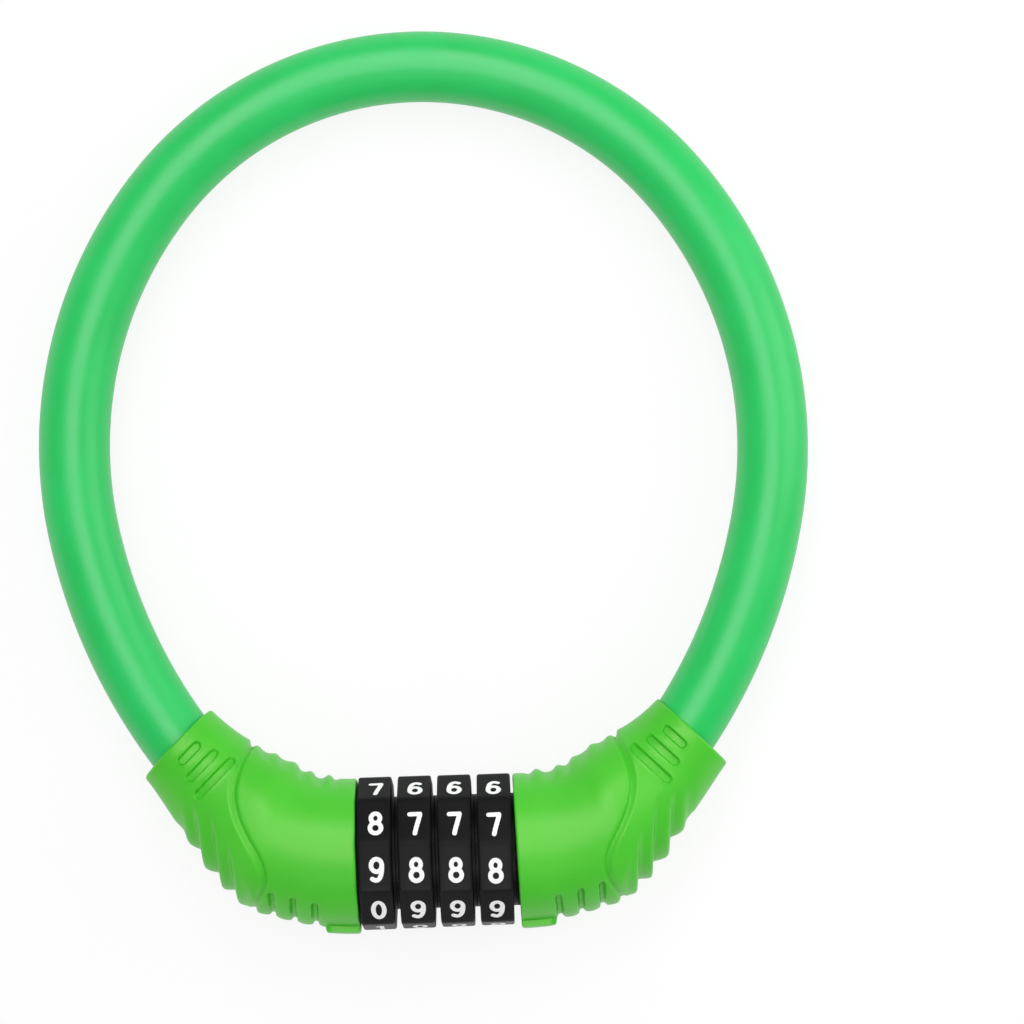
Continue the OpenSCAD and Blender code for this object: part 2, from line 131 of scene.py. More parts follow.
aim = Vector(on_table([VIEW_CENTRE[0], VIEW_CENTRE[1], 0]))
camera_data = bpy.data.cameras.new("camera")
camera_data.sensor_width = SENSOR_MM
camera_data.lens = SENSOR_MM * VIEW_DISTANCE / (IMAGE_PX / PX_PER_MM)
camera_data.clip_start = 0.05
camera_data.clip_end = 20.0
camera = bpy.data.objects.new("camera", camera_data)
camera.location = aim + Vector((0, 0, VIEW_DISTANCE * MM))
camera.rotation_euler = (0, 0, math.radians(-VIEW_ROLL))
bpy.context.scene.collection.objects.link(camera)
bpy.context.scene.camera = camera
bpy.context.scene.view_settings.view_transform = "Standard"


# ---------------------------------------------------------------------------------------
# Mesh helpers
# ---------------------------------------------------------------------------------------
def add_piece(name, verts, faces, material, sharp=40.0):
    """A mesh object from points in metres, smooth but for edges sharper than an angle."""
    mesh = bpy.data.meshes.new(name)
    mesh.from_pydata([tuple(v) for v in verts], [], [tuple(int(i) for i in f) for f in faces])
    mesh.validate()
    mesh.polygons.foreach_set("use_smooth", [True] * len(mesh.polygons))
    mesh.set_sharp_from_angle(angle=math.radians(sharp))
    mesh.materials.append(material)
    piece = bpy.data.objects.new(name, mesh)
    bpy.context.scene.collection.objects.link(piece)
    return piece


def ring_faces(count, sides, closed=False, first=0):
    """Quads between rings of points; closed joins the last ring to the first."""
    rings = count if closed else count - 1
    i = np.arange(rings)[:, None]
    j = np.arange(sides)[None, :]
    a = i * sides + j
    b = i * sides + (j + 1) % sides
    c = ((i + 1) % count) * sides + (j + 1) % sides
    d = ((i + 1) % count) * sides + j
    return (np.stack([a, b, c, d], -1).reshape(-1, 4) + first).tolist()


def smooth(v):
    """0 below 0 and 1 above 1, with an even ease between."""
    t = np.clip(v, 0, 1)
    return t * t * (3 - 2 * t)


def mix(a, b, t):
    return a + (b - a) * t


# ---------------------------------------------------------------------------------------
# Materials
# ---------------------------------------------------------------------------------------
def emptied(owner, output):
    """The node tree of a material or world, with its output node alone."""
    owner.use_nodes = True
    owner.node_tree.nodes.clear()
    return owner.node_tree, owner.node_tree.nodes.new(output)


def new_material(name):
    mat = bpy.data.materials.new(name)
    tree, out = emptied(mat, "ShaderNodeOutputMaterial")
    shader = tree.nodes.new("ShaderNodeBsdfPrincipled")
    tree.links.new(shader.outputs["BSDF"], out.inputs["Surface"])
    return mat, tree, shader


def noise(tree, coords, scale, detail, roughness=0.5):
    node = tree.nodes.new("ShaderNodeTexNoise")
    node.inputs["Scale"].default_value = scale
    node.inputs["Detail"].default_value = detail
    node.inputs["Roughness"].default_value = roughness
    tree.links.new(coords, node.inputs["Vector"])
    return node.outputs["Fac"]


def mapped(tree, value, low, high, from_min, from_max):
    """low to high as the value goes from from_min to from_max, and no further."""
    node = tree.nodes.new("ShaderNodeMapRange")
    node.inputs["From Min"].default_value = from_min
    node.inputs["From Max"].default_value = from_max
    node.inputs["To Min"].default_value = low
    node.inputs["To Max"].default_value = high
    tree.links.new(value, node.inputs["Value"])
    return node.outputs["Result"]


def tint(tree, factor, low, high):
    """A colour from low to high as the factor goes from 0 to 1."""
    node = tree.nodes.new("ShaderNodeMix")
    node.data_type = "RGBA"
    node.inputs["A"].default_value = (*low, 1)
    node.inputs["B"].default_value = (*high, 1)
    tree.links.new(factor, node.inputs["Factor"])
    return node.outputs["Result"]


def combine(tree, kind, a, b):
    """A sum, product or maximum of two values, each a number or an output."""
    node = tree.nodes.new("ShaderNodeMath")
    node.operation = kind
    for socket, value in zip(node.inputs, (a, b)):
        if isinstance(value, (int, float)):
            socket.default_value = value
        else:
            tree.links.new(value, socket)
    return node.outputs[0]


def bump(tree, height, distance):
    node = tree.nodes.new("ShaderNodeBump")
    node.inputs["Distance"].default_value = distance
    tree.links.new(height, node.inputs["Height"])
    return node.outputs["Normal"]


def object_coords(tree):
    return tree.nodes.new("ShaderNodeTexCoord").outputs["Object"]


def stretched(tree, coords, scale):
    """Coordinates scaled along each axis, which draws marks out along the small ones."""
    node = tree.nodes.new("ShaderNodeMapping")
    node.inputs["Scale"].default_value = scale
    tree.links.new(coords, node.inputs["Vector"])
    return node.outputs["Vector"]


def plastic(name, dark, light, roughness, grain, depth, specular=0.5, specular_tint=(1, 1, 1)):
    """Moulded plastic: a cloudy colour and a fine spark-eroded grain."""
    mat, tree, shader = new_material(name)
    coords = object_coords(tree)
    cloud = noise(tree, coords, scale=90, detail=4)
    colour = tint(tree, mapped(tree, cloud, 0, 1, 0.3, 0.7), dark, light)
    tree.links.new(colour, shader.inputs["Base Color"])
    fine = noise(tree, coords, scale=grain, detail=2)
    spread = 0.06
    both = combine(tree, "ADD", cloud, fine)
    sheen = mapped(tree, both, roughness - spread, roughness + spread, 0.7, 1.3)
    tree.links.new(sheen, shader.inputs["Roughness"])
    shader.inputs["Specular IOR Level"].default_value = specular
    shader.inputs["Specular Tint"].default_value = (*specular_tint, 1)
    tree.links.new(bump(tree, fine, depth), shader.inputs["Normal"])
    return mat


def metal(name, dark, light, roughness, scale, depth, stretch=(1, 1, 1)):
    """Bare or plated metal: cloudy tint, turning or casting marks, roughness that varies."""
    mat, tree, shader = new_material(name)
    coords = object_coords(tree)
    cloud = noise(tree, coords, scale=160, detail=5)
    marks = noise(tree, stretched(tree, coords, stretch), scale, detail=6, roughness=0.65)
    both = combine(tree, "ADD", cloud, marks)
    colour = tint(tree, mapped(tree, both, 0, 1, 0.75, 1.25), dark, light)
    tree.links.new(colour, shader.inputs["Base Color"])
    shader.inputs["Metallic"].default_value = 1.0
    sheen = mapped(tree, marks, roughness - 0.1, roughness + 0.12, 0.3, 0.7)
    tree.links.new(sheen, shader.inputs["Roughness"])
    tree.links.new(bump(tree, marks, depth), shader.inputs["Normal"])
    return mat


cover_mat = plastic(
    "cover_green", (0.044, 0.515, 0.018), (0.054, 0.555, 0.023),
    roughness=0.4, grain=2600, depth=0.000012, specular=0.66, specular_tint=(1.0, 0.88, 0.6),
)
sleeve_mat = plastic(
    "sleeve_green", (0.0, 0.53, 0.09), (0.0, 0.57, 0.105),
    roughness=0.39, grain=1500, depth=0.00001, specular=0.72, specular_tint=(1.0, 0.8, 1.0),
)
dial_mat = plastic(
    "dial_black", (0.0042, 0.0042, 0.0048), (0.007, 0.007, 0.008),
    roughness=0.43, grain=3200, depth=0.000008, specular=0.08,
)
collar_mat = plastic(
    "collar_black", (0.003, 0.003, 0.003), (0.006, 0.006, 0.006),
    roughness=0.6, grain=2400, depth=0.00001, specular=0.2,
)
digit_mat = plastic(
    "digit_white", (0.9, 0.9, 0.89), (0.96, 0.96, 0.95), roughness=0.45, grain=4000, depth=0.000006
)
zinc_mat = metal(
    "zinc_cast", (0.45, 0.46, 0.47), (0.62, 0.63, 0.64), roughness=0.5, scale=900, depth=0.00003
)
plated_mat = metal(
    "plated_steel", (0.52, 0.53, 0.56), (0.72, 0.73, 0.75),
    roughness=0.28, scale=700, depth=0.000008, stretch=(0.08, 1, 1),
)
spring_mat = metal(
    "spring_steel", (0.28, 0.29, 0.31), (0.45, 0.46, 0.48),
    roughness=0.3, scale=1200, depth=0.000006, stretch=(1, 0.2, 0.2),
)
brass_mat = metal(
    "brass_ring", (0.62, 0.42, 0.14), (0.83, 0.62, 0.26),
    roughness=0.3, scale=800, depth=0.00001, stretch=(0.1, 1, 1),
)
rope_mat = metal(
    "rope_wire", (0.36, 0.37, 0.38), (0.58, 0.59, 0.6), roughness=0.4, scale=1600, depth=0.00002
)


# ---------------------------------------------------------------------------------------
# Cable: a PVC sleeve on a stranded steel rope, along the hoop's arcs
# ---------------------------------------------------------------------------------------
def arc(centre, r, from_a, to_a, step):
    """An arc as (point, heading) about every step millimetres, without its last point."""
    count = max(2, int(round(math.radians(abs(to_a - from_a)) * r / step)))
    angles = from_a + (to_a - from_a) * np.arange(count) / count
    return [(centre + r * heading(a), a + 90) for a in angles]


def hoop_line(reach, step):
    """The hoop's centre line as (point, heading), from the plug's side to the fixed side."""
    run = max(2, int(round(reach / step)))
    half = [
        (CABLE_IN - (reach - reach * i / run) * heading(CABLE_ANGLE), CABLE_ANGLE)
        for i in range(run)
    ]
    half += arc(LOWER_CENTRE, LOWER_BEND_R, CABLE_ANGLE - 90, -SIDE_ARC, step)
    half += arc(SIDE_CENTRE, SIDE_BEND_R, -SIDE_ARC, 90 - TOP_ARC, step)
    half += arc(TOP_CENTRE, TOP_BEND_R, 90 - TOP_ARC, 90, step)
    other = [(np.array([-p[0], p[1]]), 360 - a) for p, a in reversed(half)]
    return half + [(np.array([0.0, HOOP_Y]), 180.0)] + other


SLEEVE_STEP = 1.3
SLEEVE_SIDES = 56
# How far the visible sleeve stays inside the solid one, and its bore outside the rope
SKIN_IN = 0.04
BORE_CLEAR = 0.12


def across(point, angle, u, v):
    """Points u to the left of a flat line and v above it, in the lock's own frame."""
    n = heading(angle + 90)
    return np.stack([point[0] + u * n[0], point[1] + u * n[1], v], -1)


def make_sleeve():
    line = hoop_line(SLEEVE_GRIP, SLEEVE_STEP)
    q = 2 * np.pi * np.arange(SLEEVE_SIDES) / SLEEVE_SIDES
    outer_r, bore_r = CABLE_R - SKIN_IN, ROPE_R + BORE_CLEAR
    outer = [across(p, a, outer_r * np.cos(q), outer_r * np.sin(q)) for p, a in line]
    bore = [across(p, a, bore_r * np.cos(q), bore_r * np.sin(q)) for p, a in reversed(line)]
    rings = np.array(outer + bore)
    faces = ring_faces(len(rings), SLEEVE_SIDES, closed=True)
    return add_piece("cable_sleeve_pvc", on_table(rings).reshape(-1, 3), faces, sleeve_mat)


ROPE_STEP = 1.6
STRANDS = 6
STRAND_R = 0.985
STRAND_GAP = 0.02
STRAND_SIDES = 10
LAY = 34.0


def make_rope():
    """Six strands laid round a core strand, each as a tube."""
    line = hoop_line(ROPE_TO, ROPE_STEP)
    points = np.array([p for p, _ in line])
    run = np.concatenate([[0], np.cumsum(np.linalg.norm(np.diff(points, axis=0), axis=1))])
    w = 2 * np.pi * np.arange(STRAND_SIDES) / STRAND_SIDES
    ring_u, ring_v = STRAND_R * np.cos(w), STRAND_R * np.sin(w)
    verts, faces = [], []
    for strand in range(STRANDS + 1):
        is_core = strand == STRANDS
        off = 0 if is_core else 2 * STRAND_R + STRAND_GAP
        rings = []
        for (p, a), along in zip(line, run):
            q = 2 * np.pi * (along / LAY + strand / STRANDS)
            rings.append(across(p, a, off * math.cos(q) + ring_u, off * math.sin(q) + ring_v))
        first = len(verts)
        last = first + (len(rings) - 1) * STRAND_SIDES
        verts += on_table(np.array(rings)).reshape(-1, 3).tolist()
        faces += ring_faces(len(rings), STRAND_SIDES, first=first)
        faces.append([first + j for j in reversed(range(STRAND_SIDES))])
        faces.append([last + j for j in range(STRAND_SIDES)])
    return add_piece("steel_rope_strands", verts, faces, rope_mat)


sleeve = make_sleeve()
rope = make_rope()
for piece, node, slot in ((sleeve, "cable_sleeve", "sleeve"), (rope, "steel_rope", "rope")):
    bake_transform(piece)
    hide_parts(node)


# ---------------------------------------------------------------------------------------
# Covers
# ---------------------------------------------------------------------------------------
def bezier(a, b, c, d, t):
    """Points of a cubic curve from a to d, for an array t from 0 to 1."""
    t = t[..., None]
    return (1 - t) ** 3 * a + 3 * t * (1 - t) ** 2 * b + 3 * t * t * (1 - t) * c + t ** 3 * d


# Where along a cover its radius starts to shrink toward the cuff's
TAPER_FROM = 0.4


def cover_surface(mouth_x, t, a):
    """A cover's plain skin for t from 0 at the dials to 1 at the cuff; a in degrees from
    the inside of the hoop, 90 on the upper face."""
    c = bezier(
        np.array([mouth_x, 0.0]),
        np.array([mouth_x + LEAD_IN, 0.0]),
        CUFF_IN - LEAD_OUT * heading(MOUTH_ANGLE),
        CUFF_IN,
        t,
    )
    lean = np.radians(MOUTH_ANGLE * smooth(t) ** LEAN_EASE + 90)
    r = mix(BODY_R, CUFF_R, smooth((t - TAPER_FROM) / (1 - TAPER_FROM)))
    u, v = r * np.cos(np.radians(a)), r * np.sin(np.radians(a))
    return np.stack([c[..., 0] + u * np.cos(lean), c[..., 1] + u * np.sin(lean), v], -1)


# Farther than any distance on the lock
FAR = 1e9


def line_distance(x, y, points):
    """Distance to a polyline, and on which side of it: positive on its left."""
    best = np.full(x.shape, FAR)
    side = np.zeros(x.shape)
    for (x0, y0), (x1, y1) in zip(points[:-1], points[1:]):
        dx, dy = x1 - x0, y1 - y0
        u = np.clip(((x - x0) * dx + (y - y0) * dy) / max(dx * dx + dy * dy, 1 / FAR), 0, 1)
        ex, ey = x - x0 - u * dx, y - y0 - u * dy
        d = np.hypot(ex, ey)
        side = np.where(d < best, np.sign(dx * ey - dy * ex), side)
        best = np.minimum(best, d)
    return best, side


def spline(points, per=8):
    """A smooth curve through a few points."""
    p = np.array([points[0], *points, points[-1]], float)
    out = []
    for before, here, there, after in zip(p, p[1:], p[2:], p[3:]):
        for t in np.arange(per) / per:
            slope = there - before
            bend = 2 * before - 5 * here + 4 * there - after
            twist = 3 * here - before - 3 * there + after
            out.append(0.5 * (2 * here + slope * t + bend * t * t + twist * t ** 3))
    out.append(p[-2])
    return out


# The line that parts the grip from the cuff over both faces, with the cuff on its left
PARTING = spline(
    [(30.1, 20.0), (30.4, 18.9), (32.0, 15.4), (32.9, 11.4), (32.4, 7.7), (30.9, 4.0), (29.0, 0.35),
     (28.3, -2.5), (28.7, -4.8), (30.6, -8.1), (31.4, -9.4)]
)
# Tips and valleys along the outer edge in turn, from the cuff to the dials: x, y and depth
EDGE = [
    (43.6, 5.6, 0.0), (42.7, 4.4, 0.2), (41.5, 2.6, 0.0), (40.1, 1.0, 1.0), (38.75, -1.4, 0.0),
    (36.9, -3.1, 1.15), (35.8, -5.1, 0.0), (34.1, -6.4, 1.0), (32.95, -7.3, 0.0), (31.0, -8.6, 0.3),
    (29.6, -9.2, 0.0),
]
# How deep a flute is for each unit of its valley's depth
FLUTE_DEPTH = 1.35
# How far the flutes reach up the face: x and reach
FLUTE_REACH = [(30, 3.0), (34.5, 10.5), (37.3, 11.5), (40, 9.0), (43, 6.0)]
# Short channels over the outer edge: x and y of the upper end and of the lower end
NOTCHES = [
    ((27.4, -5.9), (27.8, -11.5)), ((23.8, -6.9), (24.25, -12.5)), ((20.2, -7.9), (20.7, -13.5))
]
# Ridges across the inner edge: x and height, before they are sunk into the skin
RIDGES = [(17.75, 0.86), (20.9, 0.72), (23.5, 0.58), (26.5, 0.5), (29.4, 0.34)]
RIDGE_HALF = 0.78
RIDGE_SINK = 0.42
RIDGE_REACH = 1.9
# The grip slots on each face of the cuff
SLOT_COUNT = 3
SLOT_PITCH = 2.95
SLOT_LEN = 4.8
SLOT_GROWTH = 2.05
SLOT_HALF = 0.68
SLOT_SHIFT = 1.15
# The tab that points at the digits of the code
TAB_LEN = 5.7
TAB_HALF = 1.82
TAB_ROUND = 0.9
TAB_RISE = 0.95


def capsule(x, y, p, q):
    """Distance to the straight line from p to q."""
    dx, dy = q[0] - p[0], q[1] - p[1]
    u = np.clip(((x - p[0]) * dx + (y - p[1]) * dy) / (dx * dx + dy * dy), 0, 1)
    return np.hypot(x - p[0] - u * dx, y - p[1] - u * dy)


def channel(distance, half, depth, edge, lip=0.0):
    """A channel with a flat floor, sloping sides and a slight lip along its rim."""
    floor = smooth((half + edge / 2 - distance) / edge)
    rim = np.exp(-(((distance - half - edge * 0.9) / (edge * 0.8)) ** 2))
    return -depth * floor + lip * rim


def flutes(x, y, facing):
    """Hollows that rise from the valleys of the outer edge and fade up the face."""
    edge_x, edge_y, depth = np.array(EDGE)[::-1].T
    valley = np.arange(len(EDGE))[::-1] % 2
    wave = smooth(np.interp(x, edge_x, valley.astype(float), left=0, right=0))
    amount = np.interp(x, edge_x[valley == 1], depth[valley == 1])
    reach = np.interp(x, *np.transpose(FLUTE_REACH))
    fade = np.clip(1 - (y - np.interp(x, edge_x, edge_y)) / reach, 0, 1)
    return -FLUTE_DEPTH * np.where(facing < 0.35, 1.0, 0.0) * amount * wave * fade


def swelling(x, t, facing):
    """What the outline has more of than the plain skin: at the cuff, at the hip before it,
    and along the inner edge by the dials."""
    cuff = 0.3 * np.sin(math.pi * np.clip((t - 0.76) / 0.24, 0, 1))
    hip = 0.5 * np.exp(-(((x - 31.2) / 3.2) ** 2))
    inner = 0.32 * smooth((26.5 - x) / 3) * np.maximum(facing, 0) ** 2
    return (cuff + hip) * np.maximum(-facing, 0) ** 1.5 + inner


def ridges(x, facing):
    """Small ridges across the inner edge."""
    height = sum(top * np.exp(-(((x - place) / RIDGE_HALF) ** 2)) for place, top in RIDGES)
    inner = smooth(1 - (1 - facing) * BODY_R / RIDGE_REACH)
    window = smooth((x - 15.6) / 1.4) * smooth((31.0 - x) / 0.8)
    return np.where(facing > 0, (height - RIDGE_SINK) * inner * window, 0)


def parting(x, y):
    """The groove between grip and cuff, and the cuff's slight step up from it."""
    d, side = line_distance(x, y, PARTING)
    step = 0.072 * np.where(side < 0, -1, 1) * np.exp(-d / 2.2)
    return channel(d, half=0.44, depth=0.44, edge=0.72, lip=0.03) + step


def grip_slots(x, y, k):
    """Slot k on both faces of the cuff, counted from the cuff's mouth."""
    ahead, across_cuff = heading(MOUTH_ANGLE), heading(MOUTH_ANGLE + 90)
    c = CUFF_IN - SLOT_PITCH * (k + 1) * ahead + SLOT_SHIFT * across_cuff
    u = ((SLOT_LEN + SLOT_GROWTH * k) / 2 - SLOT_HALF) * across_cuff
    return channel(capsule(x, y, c - u, c + u), half=SLOT_HALF, depth=0.66, edge=0.26, lip=0.06)


def notch(x, y, facing, upper, lower):
    """A short channel over the outer edge, shallower on the edge itself, in a soft dip."""
    d = capsule(x, y, upper, lower)
    shallow = mix(1.0, 0.6, smooth((-facing - 0.8) / 0.2))
    dip = 0.35 * np.exp(-((d / 0.9) ** 2)) * smooth((-facing - 0.5) / 0.5)
    return channel(d, half=0.47, depth=0.85, edge=0.34) * shallow * (facing < -0.1) - dip


def index_tab(along, a):
    """The raised tab, from along 0 at the dials; a in degrees round the cover."""
    about = np.radians(a - INDEX_ANGLE) * BODY_R
    ex = np.maximum(along - TAB_LEN + TAB_ROUND, 0)
    ey = np.maximum(np.abs(about) - TAB_HALF + TAB_ROUND, 0)
    outside = np.hypot(ex, ey) - TAB_ROUND
    return TAB_RISE * smooth((0.16 - outside) / 0.34)


def cover_relief(p, a, t, mouth_x):
    """Height of the moulded detail over the plain skin, in millimetres."""
    x, y = p[..., 0], p[..., 1]
    # 1 on the edge inside the hoop, 0 on top and below, -1 on the outer edge
    facing = np.cos(np.radians(a))
    on_face = np.abs(np.sin(np.radians(a))) > 0.2
    h = flutes(x, y, facing) + swelling(x, t, facing) + ridges(x, facing) + parting(x, y)
    h += sum(grip_slots(x, y, k) for k in range(SLOT_COUNT)) * on_face
    h += sum(notch(x, y, facing, upper, lower) for upper, lower in NOTCHES)
    return h + index_tab(x - mouth_x, a)


COVER_SIDES = 320
COVER_RINGS = 264
# Millimetres of skin for each unit of t, at the dials and at the cuff
START_PACE = 3 * LEAD_IN
END_PACE = 3 * LEAD_OUT
RIM_ROUND = 0.45
# Where the rings of the rounded rims lie, in millimetres from the mouth
RIM_STEPS = np.array([0.0, 0.04, 0.1, 0.18, 0.28, 0.38])
# The bore's flare at the cuff's mouth, and the edges of the block's space
CUFF_LIP = 0.2
LIP_DEPTH = 0.25
INNER_BEVEL = 0.2
STEP_BACK = 0.3


def skin_places():
    """Places of a cover's rings from t = 0 to 1, closer at both rims and toward the cuff."""
    near, far = RIM_STEPS / START_PACE, 1 - RIM_STEPS[::-1] / END_PACE
    spread = np.linspace(0, 1, COVER_RINGS)
    spread += 0.3 * spread * (1 - spread)
    gap = 0.004
    return np.concatenate([near, mix(near[-1] + gap, far[0] - gap, spread), far])


def outward(mouth_x, t, a, base):
    """Unit normals of a cover's plain skin."""
    dt, da = 1e-4, 0.05
    along = cover_surface(mouth_x, t + dt, a) - cover_surface(mouth_x, t - dt, a)
    about = cover_surface(mouth_x, t, a + da) - cover_surface(mouth_x, t, a - da)
    normal = np.cross(about, along)
    normal /= np.linalg.norm(normal, axis=-1, keepdims=True)
    centre = base.mean(axis=1, keepdims=True)
    return normal * np.sign((normal * (base - centre)).sum(-1, keepdims=True))


def rim_rounding(t):
    """How far the skin draws in near both mouths."""
    from_rim = np.minimum(t * START_PACE, (1 - t) * END_PACE)
    gap = np.clip(RIM_ROUND - from_rim, 0, RIM_ROUND)
    return RIM_ROUND - np.sqrt(np.maximum(RIM_ROUND ** 2 - gap ** 2, 0))


def cover_walls(mouth_x, face_x, a):
    """Rings of a cover's inside, from the cuff's mouth to the dials' end: the cable's bore,
    then the block's space."""
    u, v = np.cos(np.radians(a)), np.sin(np.radians(a))
    bore_r = CABLE_R + CABLE_CLEAR
    run = heading(CABLE_ANGLE)
    ahead = heading(MOUTH_ANGLE)
    mouth = across(CABLE_IN, CABLE_ANGLE, bore_r * u, bore_r * v)
    # slid along the cable to the plane of the cuff's mouth
    slide = -((mouth[:, :2] - CUFF_IN) @ ahead) / (run @ ahead)
    mouth[:, :2] += slide[:, None] * run
    lip = mouth.copy()
    lip[:, :2] -= LIP_DEPTH * run
    cable_in = np.append(CABLE_IN, 0)
    mouth = cable_in + (mouth - cable_in) * (1 + CUFF_LIP / bore_r)
    socket = across(CABLE_IN - SOCKET_FROM * run, CABLE_ANGLE, bore_r * u, bore_r * v)
    block_space = [
        (face_x + BLOCK_LEN, BLOCK_BACK_R),
        (face_x + FLANGE_LEN + STEP_BACK, BLOCK_BACK_R),
        (face_x + FLANGE_LEN, BLOCK_R),
        (mouth_x + INNER_BEVEL, BLOCK_R),
        (mouth_x, BLOCK_R + INNER_BEVEL),
    ]
    return [mouth, lip, socket] + [across((x, 0), 0, r * u, r * v) for x, r in block_space]


def make_cover(name, node, mouth_x, face_x, mirrored, drift, advance=0.0, slant=0.0):
    """A cover's finished skin and inner walls. The cuff lies drift millimetres to the hoop's
    outside; the edge at the dials is advance millimetres nearer to them, and slanted."""
    a = 360 * np.arange(COVER_SIDES) / COVER_SIDES
    tt, aa = np.meshgrid(skin_places(), a, indexing="ij")
    base = cover_surface(mouth_x, tt, aa)
    normal = outward(mouth_x, tt, aa, base)
    to_inside = np.append(heading(MOUTH_ANGLE + 90), 0)
    base = base - to_inside * drift * smooth((tt - 0.6) / 0.4)[..., None]
    relief = cover_relief(base, aa, tt, mouth_x) - rim_rounding(tt)
    outer = base + normal * relief[..., None]
    walls = np.array(cover_walls(mouth_x, face_x, a))

    def to_edge(points, amount):
        points[..., 0] -= (advance + slant * points[..., 1]) * amount

    to_edge(outer, 1 - smooth(tt / 0.2))
    to_edge(walls[-2:], 1.0)
    points = np.concatenate([outer, walls])
    faces = ring_faces(len(points), COVER_SIDES, closed=True)
    if mirrored:
        points = points * np.array([-1, 1, 1])
    else:
        faces = [f[::-1] for f in faces]
    piece = add_piece(name, on_table(points).reshape(-1, 3), faces, cover_mat, sharp=50)
    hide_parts(node)
    return piece


left_cover = make_cover(
    "left_cover_moulded", "left_cover", LEFT_MOUTH, BODY_FACE, mirrored=True, drift=-0.28
)
plug_cover = make_cover(
    "plug_cover_moulded", "plug_cover", PLUG_MOUTH, PLUG_FACE,
    mirrored=False, drift=0.72, advance=0.58, slant=0.031,
)
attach(left_cover, "lock_body")
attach(plug_cover, "plug")


# ---------------------------------------------------------------------------------------
# Dials and their digits
# ---------------------------------------------------------------------------------------
FLAT_R = DIAL_R * math.cos(math.radians(FLAT_STEP / 2))
HUB_BEVEL = 0.06
FLAT_BEVEL = 0.38
# A dial's inside, in millimetres, and how far its grooves reach to each side, in degrees
RING_POCKET_R = 7.65
RING_FROM = 0.05
KEYWAY_R = 8.25
KEYWAY_HALF = 5.4
CAVITY_R = 7.0
DETENT_ANGLE = 270
DETENT_DEPTH = 0.45
DETENT_HALF = 8.4
# How far each dial is off its click in the photograph, in degrees
DIAL_PLAY = {1: 2.2, 2: 1.6, 3: 0.4, 4: -0.4}


def dial_x(number):
    return (number - (DIAL_COUNT + 1) / 2) * DIAL_PITCH


def flat_angle(number, k):
    """Where a dial's flat k faces, as its play leaves it in the photograph."""
    return INDEX_ANGLE % FLAT_STEP + FLAT_STEP * k - DIAL_PLAY[number]


def dial_angles(number):
    """Angles of the points round a dial, closer at the corners between its flats."""
    offsets = np.concatenate([np.arange(-18, 18, 1.5), [-17.6, -17.2, -16.8, 16.8, 17.2, 17.6]])
    offsets.sort()
    return np.concatenate([flat_angle(number, k) + offsets for k in range(DIGITS)])


def dial_outline(number, angles, inset):
    """A ten-sided outline with slightly softened corners."""
    power = 90.0
    centres = flat_angle(number, np.arange(DIGITS))
    reach = np.maximum(np.cos(np.radians(angles[:, None] - centres[None, :])), 0)
    return (reach ** power).sum(1) ** (-1 / power) * (FLAT_R - inset)


def from_nearest(angles, first):
    """Degrees to the nearest of ten places round the dial."""
    return np.abs((angles - first + FLAT_STEP / 2) % FLAT_STEP - FLAT_STEP / 2)


def turned(rings, q, from_x=0.0):
    """Points in metres of rings round the dials' axis, each an x and a radius."""
    points = [
        np.stack([np.full(len(q), from_x + x), r * np.cos(q), r * np.sin(q)], -1)
        for x, r in rings
    ]
    return on_table(points).reshape(-1, 3)


def make_dial(number):
    angles = dial_angles(number)
    q = np.radians(angles)
    pocket = np.where(from_nearest(angles, 0) < KEYWAY_HALF, KEYWAY_R, RING_POCKET_R)
    detent = from_nearest(angles, DETENT_ANGLE) / DETENT_HALF
    cavity = CAVITY_R + DETENT_DEPTH * np.sqrt(np.clip(1 - detent ** 2, 0, 1))
    hub, hub_edge = np.full(len(q), HUB_R), np.full(len(q), HUB_R - HUB_BEVEL)
    half, rim = HUB_FACE_W / 2, RIM_FACE_W / 2

    def flat_rim(side, w):
        """A ring of the flats' rounded rim, w from 0 at the dial's end to 90 on the flats."""
        c, s = math.cos(math.radians(w)), math.sin(math.radians(w))
        x = side * (rim - FLAT_BEVEL * (1 - c))
        return x, dial_outline(number, angles, FLAT_BEVEL * (1 - s))

    turns = [0, 22.5, 45, 67.5, 90]
    rings = [(-half, cavity), (-half, hub_edge), (-half + HUB_BEVEL, hub), (-rim, hub)]
    rings += [flat_rim(-1, w) for w in turns]
    rings += [(x, dial_outline(number, angles, 0)) for x in (-1.2, 0, 1.2)]
    rings += [flat_rim(1, w) for w in reversed(turns)]
    rings += [(rim, hub), (half - HUB_BEVEL, hub), (half, hub_edge)]
    rings += [(half, pocket), (RING_FROM, pocket), (RING_FROM, cavity)]
    verts = turned(rings, q, dial_x(number))
    faces = ring_faces(len(rings), len(q), closed=True)
    piece = add_piece(f"dial_{number}_moulded", verts, faces, dial_mat, sharp=30)
    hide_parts(f"dial_{number}")
    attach(piece, f"dial_{number}")
    return piece


def bow(cx, cy, rx, ry, from_a, to_a, count=28):
    """Part of an ellipse as a stroke of a digit."""
    w = np.radians(np.linspace(from_a, to_a, count))
    return [(cx + rx * math.cos(v), cy + ry * math.sin(v)) for v in w]


def curve(a, b, c, d, count=20):
    """A cubic curve as a stroke of a digit."""
    t = np.linspace(0, 1, count)
    return [tuple(p) for p in bezier(*(np.array(v, float) for v in (a, b, c, d)), t)]


